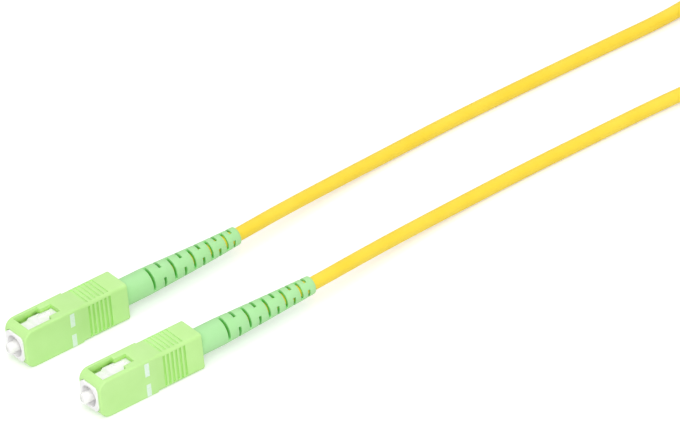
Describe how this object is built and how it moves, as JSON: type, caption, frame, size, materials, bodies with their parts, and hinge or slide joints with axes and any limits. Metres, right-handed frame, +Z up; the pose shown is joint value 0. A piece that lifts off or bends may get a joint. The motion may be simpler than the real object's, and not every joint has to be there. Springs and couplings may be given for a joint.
{
  "type": "fibre optic patch cable",
  "caption": "Thin jacketed fibre cable with a keyed push-pull plug on each end, slotted bend-relief boots, sprung ferrules and the spare length wound in a tied coil.",
  "frame": {"origin": "on the surface that the plugs lie on, under the middle of the two plugs side by side", "axes": "+X from the plugs' front ends along their boots to the cable, +Y from plug b to plug a, +Z up through the latch windows"},
  "size_m": [0.223, 0.0462, 0.009],
  "materials": {
    "grip_plastic": "satin moulded light green plastic",
    "frame_plastic": "smooth moulded white plastic",
    "ferrule_ceramic": "polished white ceramic",
    "plated_metal": "nickel plated, turned",
    "spring_steel": "drawn wire",
    "crimp_metal": "satin, crimped",
    "yarn": "loose yellow filaments",
    "fibre_buffer": "smooth tight buffer",
    "boot_rubber": "soft moulded mint green elastomer",
    "cable_jacket": "extruded yellow jacket",
    "tie_fabric": "hook and loop strap"
  },
  "bodies": {
    "cable": {"plug_frame_a": "frame_plastic", "ferrule_spring_a": "spring_steel", "stop_ring_a": "plated_metal", "aramid_yarn_a": "yarn", "crimp_sleeve_a": "crimp_metal", "buffered_fibre_a": "fibre_buffer", "cable_end_a": "cable_jacket", "boot_a": "boot_rubber", "plug_frame_b": "frame_plastic", "ferrule_spring_b": "spring_steel", "stop_ring_b": "plated_metal", "aramid_yarn_b": "yarn", "crimp_sleeve_b": "crimp_metal", "buffered_fibre_b": "fibre_buffer", "cable_end_b": "cable_jacket", "boot_b": "boot_rubber", "cable_lead_a": "cable_jacket", "cable_lead_b": "cable_jacket", "cable_coil": "cable_jacket", "coil_tie": "tie_fabric"},
    "grip_a": {"grip_housing_a": "grip_plastic"},
    "grip_b": {"grip_housing_b": "grip_plastic"},
    "ferrule_unit_a": {"ferrule_a": "ferrule_ceramic", "ferrule_flange_a": "plated_metal"},
    "ferrule_unit_b": {"ferrule_b": "ferrule_ceramic", "ferrule_flange_b": "plated_metal"}
  },
  "joints": [
    {"name": "grip_a_slide", "type": "slide", "parent": "cable", "child": "grip_a", "axis": [1, 0, 0], "range_m": [0, 0.002]},
    {"name": "grip_b_slide", "type": "slide", "parent": "cable", "child": "grip_b", "axis": [1, 0, 0], "range_m": [0, 0.002]},
    {"name": "ferrule_a_slide", "type": "slide", "parent": "cable", "child": "ferrule_unit_a", "axis": [1, 0, 0], "range_m": [0, 0.0015], "stiffness_N_per_m": 3000, "springref_m": -0.002, "deforming": ["ferrule_spring_a"]},
    {"name": "ferrule_b_slide", "type": "slide", "parent": "cable", "child": "ferrule_unit_b", "axis": [1, 0, 0], "range_m": [0, 0.0015], "stiffness_N_per_m": 3000, "springref_m": -0.002, "deforming": ["ferrule_spring_b"]}
  ]
}
